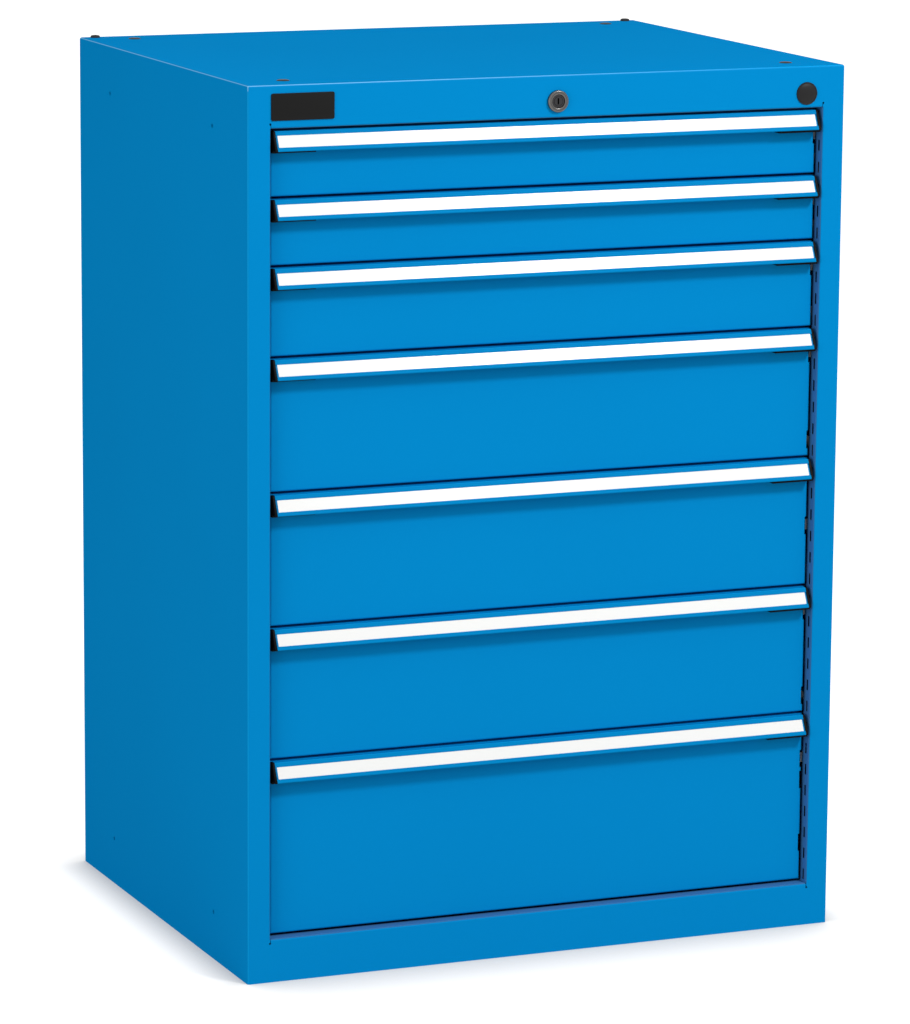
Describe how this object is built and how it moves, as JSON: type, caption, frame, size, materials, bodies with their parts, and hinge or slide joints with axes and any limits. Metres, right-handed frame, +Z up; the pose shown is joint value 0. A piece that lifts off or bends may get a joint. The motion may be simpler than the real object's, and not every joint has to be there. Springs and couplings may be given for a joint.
{
  "type": "drawer cabinet",
  "caption": "Sheet-steel cabinet of full-width drawers on telescopic roller slides, with bar handles, label strips and a key lock that bars the drawers.",
  "frame": {"origin": "middle of the carcass on the floor, handles left out", "axes": "+X to the right seen from the front, +Y to the back, +Z up"},
  "size_m": [0.717, 0.5774, 1.003],
  "materials": {
    "blue_enamel": "semi-gloss blue enamel with a fine texture",
    "zinc_plated_steel": "zinc-plated",
    "black_plate": "satin black, blank",
    "black_plastic": "moulded, satin",
    "black_rubber": "matt",
    "lock_chrome": "polished",
    "lock_steel": "dark nickel plate",
    "white_label": "white strip, blank"
  },
  "bodies": {
    "carcass": {"side_right": "blue_enamel", "side_left": "blue_enamel", "top_panel": "blue_enamel", "base_panel": "blue_enamel", "back_panel": "blue_enamel", "rear_upright_right": "zinc_plated_steel", "rear_upright_left": "zinc_plated_steel", "cabinet_rails_right": "zinc_plated_steel", "cabinet_rails_left": "zinc_plated_steel", "name_plate": "black_plate", "header_plug": "black_plastic", "roof_plugs": "black_plastic", "rear_corner_caps": "black_rubber", "lock_housing": "lock_chrome", "lock_bar_guides": "black_plastic"},
    "drawer_1": {"drawer_1_tub": "blue_enamel", "drawer_1_front": "blue_enamel", "drawer_1_handle": "blue_enamel", "drawer_1_label": "white_label", "drawer_1_handle_caps": "black_plastic"},
    "slide_1": {"drawer_1_slides": "zinc_plated_steel"},
    "drawer_2": {"drawer_2_tub": "blue_enamel", "drawer_2_front": "blue_enamel", "drawer_2_handle": "blue_enamel", "drawer_2_label": "white_label", "drawer_2_handle_caps": "black_plastic"},
    "slide_2": {"drawer_2_slides": "zinc_plated_steel"},
    "drawer_3": {"drawer_3_tub": "blue_enamel", "drawer_3_front": "blue_enamel", "drawer_3_handle": "blue_enamel", "drawer_3_label": "white_label", "drawer_3_handle_caps": "black_plastic"},
    "slide_3": {"drawer_3_slides": "zinc_plated_steel"},
    "drawer_4": {"drawer_4_tub": "blue_enamel", "drawer_4_front": "blue_enamel", "drawer_4_handle": "blue_enamel", "drawer_4_label": "white_label", "drawer_4_handle_caps": "black_plastic"},
    "slide_4": {"drawer_4_slides": "zinc_plated_steel"},
    "drawer_5": {"drawer_5_tub": "blue_enamel", "drawer_5_front": "blue_enamel", "drawer_5_handle": "blue_enamel", "drawer_5_label": "white_label", "drawer_5_handle_caps": "black_plastic"},
    "slide_5": {"drawer_5_slides": "zinc_plated_steel"},
    "drawer_6": {"drawer_6_tub": "blue_enamel", "drawer_6_front": "blue_enamel", "drawer_6_handle": "blue_enamel", "drawer_6_label": "white_label", "drawer_6_handle_caps": "black_plastic"},
    "slide_6": {"drawer_6_slides": "zinc_plated_steel"},
    "drawer_7": {"drawer_7_tub": "blue_enamel", "drawer_7_front": "blue_enamel", "drawer_7_handle": "blue_enamel", "drawer_7_label": "white_label", "drawer_7_handle_caps": "black_plastic"},
    "slide_7": {"drawer_7_slides": "zinc_plated_steel"},
    "lock_core": {"lock_core": "lock_steel", "lock_cam": "zinc_plated_steel"},
    "lock_bar": {"lock_bar": "zinc_plated_steel"}
  },
  "joints": [
    {"name": "drawer_1_pull", "type": "slide", "parent": "carcass", "child": "drawer_1", "axis": [0, -1, 0], "range_m": [0, 0.47]},
    {"name": "slide_1_run", "type": "slide", "parent": "carcass", "child": "slide_1", "axis": [0, -1, 0], "range_m": [0, 0.235]},
    {"name": "drawer_2_pull", "type": "slide", "parent": "carcass", "child": "drawer_2", "axis": [0, -1, 0], "range_m": [0, 0.47]},
    {"name": "slide_2_run", "type": "slide", "parent": "carcass", "child": "slide_2", "axis": [0, -1, 0], "range_m": [0, 0.235]},
    {"name": "drawer_3_pull", "type": "slide", "parent": "carcass", "child": "drawer_3", "axis": [0, -1, 0], "range_m": [0, 0.47]},
    {"name": "slide_3_run", "type": "slide", "parent": "carcass", "child": "slide_3", "axis": [0, -1, 0], "range_m": [0, 0.235]},
    {"name": "drawer_4_pull", "type": "slide", "parent": "carcass", "child": "drawer_4", "axis": [0, -1, 0], "range_m": [0, 0.47]},
    {"name": "slide_4_run", "type": "slide", "parent": "carcass", "child": "slide_4", "axis": [0, -1, 0], "range_m": [0, 0.235]},
    {"name": "drawer_5_pull", "type": "slide", "parent": "carcass", "child": "drawer_5", "axis": [0, -1, 0], "range_m": [0, 0.47]},
    {"name": "slide_5_run", "type": "slide", "parent": "carcass", "child": "slide_5", "axis": [0, -1, 0], "range_m": [0, 0.235]},
    {"name": "drawer_6_pull", "type": "slide", "parent": "carcass", "child": "drawer_6", "axis": [0, -1, 0], "range_m": [0, 0.47]},
    {"name": "slide_6_run", "type": "slide", "parent": "carcass", "child": "slide_6", "axis": [0, -1, 0], "range_m": [0, 0.235]},
    {"name": "drawer_7_pull", "type": "slide", "parent": "carcass", "child": "drawer_7", "axis": [0, -1, 0], "range_m": [0, 0.47]},
    {"name": "slide_7_run", "type": "slide", "parent": "carcass", "child": "slide_7", "axis": [0, -1, 0], "range_m": [0, 0.235]},
    {"name": "lock_turn", "type": "hinge", "parent": "carcass", "child": "lock_core", "pos_m": [0.005, -0.286, 0.971], "axis": [0, 1, 0], "range_deg": [0, 90]},
    {"name": "lock_bar_shift", "type": "slide", "parent": "carcass", "child": "lock_bar", "axis": [-1, 0, 0], "range_m": [0, 0.008]}
  ],
  "couplings": [
    {"joint": "slide_1_run", "follows": "drawer_1_pull", "ratio": 0.5},
    {"joint": "slide_2_run", "follows": "drawer_2_pull", "ratio": 0.5},
    {"joint": "slide_3_run", "follows": "drawer_3_pull", "ratio": 0.5},
    {"joint": "slide_4_run", "follows": "drawer_4_pull", "ratio": 0.5},
    {"joint": "slide_5_run", "follows": "drawer_5_pull", "ratio": 0.5},
    {"joint": "slide_6_run", "follows": "drawer_6_pull", "ratio": 0.5},
    {"joint": "slide_7_run", "follows": "drawer_7_pull", "ratio": 0.5},
    {"joint": "lock_turn", "follows": "lock_bar_shift", "rad_per_m": 196.3}
  ]
}
